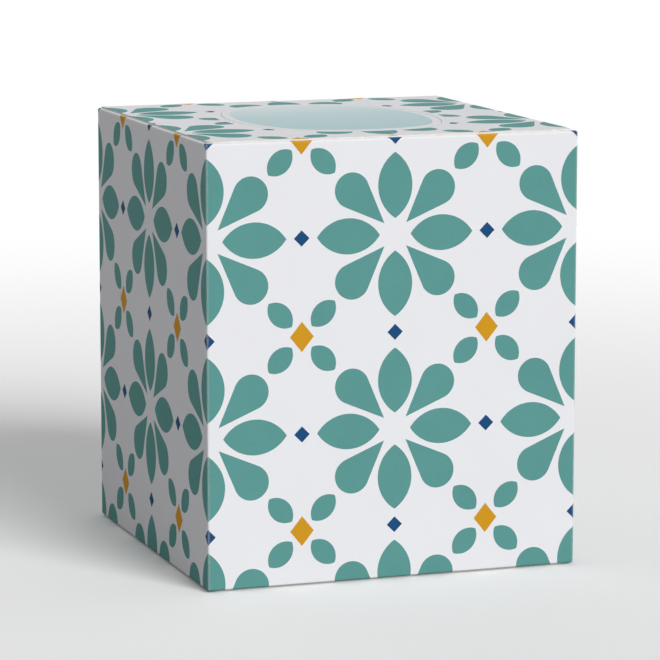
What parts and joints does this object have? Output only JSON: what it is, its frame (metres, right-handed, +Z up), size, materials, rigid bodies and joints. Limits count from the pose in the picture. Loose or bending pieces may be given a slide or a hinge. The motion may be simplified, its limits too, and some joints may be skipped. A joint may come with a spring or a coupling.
{
  "type": "tissue box",
  "caption": "Sealed cube carton of facial tissues with folded edges, glued end flaps, a perforated tear-out oval in the top and an all-over petal print.",
  "frame": {"origin": "middle of the base, on the surface that the box stands on", "axes": "+Z up, +X to the right and +Y to the back, seen from the front wall"},
  "size_m": [0.1112, 0.1112, 0.127],
  "materials": {
    "board": "satin white coated board",
    "teal_ink": "satin teal print on board",
    "gold_ink": "satin golden yellow print on board",
    "navy_ink": "satin navy print on board",
    "opening_ink": "satin pale blue print on board"
  },
  "bodies": {
    "root": {"tissue_carton": "board", "teal_print": "teal_ink", "gold_print": "gold_ink", "navy_print": "navy_ink", "opening_print": "opening_ink"}
  },
  "joints": []
}
